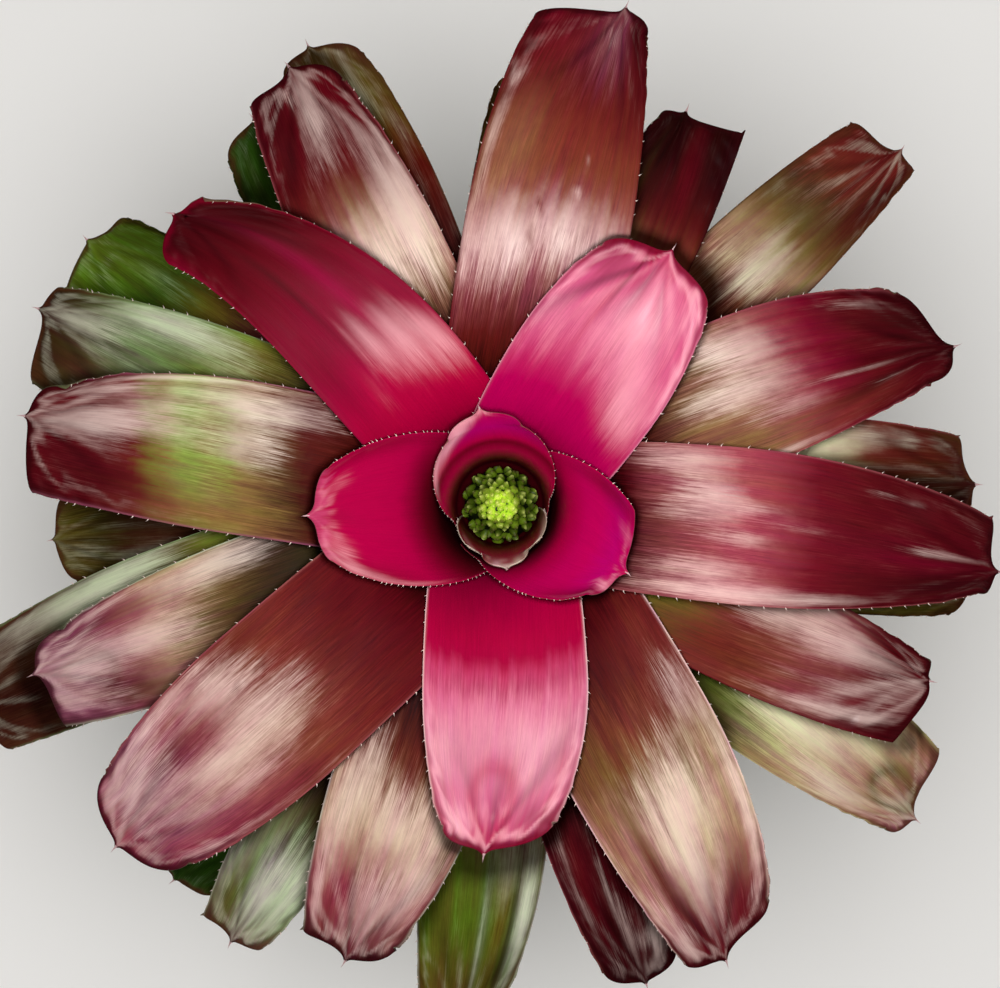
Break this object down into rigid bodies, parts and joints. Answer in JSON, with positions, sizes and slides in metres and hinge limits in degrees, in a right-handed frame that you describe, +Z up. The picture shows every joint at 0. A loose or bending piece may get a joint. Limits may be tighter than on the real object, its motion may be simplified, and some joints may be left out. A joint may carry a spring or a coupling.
{
  "type": "potted neoregelia bromeliad",
  "caption": "Wide flat rosette of strap leaves with spined margins, flushed pink round a low green flower head, standing in a plain tapered nursery pot.",
  "frame": {"origin": "centre of the pot's underside, on the surface that the pot stands on", "axes": "+Z up along the plant's axis; +Y towards the longest leaf of the upper whorl, leaf_10, within 10 degrees; +X towards leaf_08"},
  "size_m": [0.6243, 0.6237, 0.2874],
  "materials": {
    "heart_leaf": "satin",
    "pink_leaf": "satin",
    "wine_leaf": "satin",
    "green_leaf": "satin",
    "flower_head": "satin",
    "stem": "matte",
    "soil": "matte",
    "pot": "matte"
  },
  "bodies": {
    "root": {"leaf_01": "heart_leaf", "leaf_02": "heart_leaf", "leaf_03": "heart_leaf", "leaf_04": "heart_leaf", "leaf_05": "pink_leaf", "leaf_06": "pink_leaf", "leaf_07": "pink_leaf", "leaf_08": "wine_leaf", "leaf_09": "wine_leaf", "leaf_10": "wine_leaf", "leaf_11": "wine_leaf", "leaf_12": "wine_leaf", "leaf_13": "wine_leaf", "leaf_14": "wine_leaf", "leaf_15": "wine_leaf", "leaf_16": "wine_leaf", "leaf_17": "wine_leaf", "leaf_18": "wine_leaf", "leaf_19": "wine_leaf", "leaf_20": "green_leaf", "leaf_21": "green_leaf", "leaf_22": "green_leaf", "leaf_23": "green_leaf", "leaf_24": "green_leaf", "leaf_25": "green_leaf", "leaf_26": "green_leaf", "leaf_27": "green_leaf", "leaf_28": "green_leaf", "leaf_29": "green_leaf", "leaf_30": "green_leaf", "leaf_31": "green_leaf", "leaf_32": "green_leaf", "leaf_33": "green_leaf", "leaf_34": "green_leaf", "leaf_35": "green_leaf", "flower_head": "flower_head", "stem": "stem", "soil": "soil", "pot": "pot"}
  },
  "joints": []
}
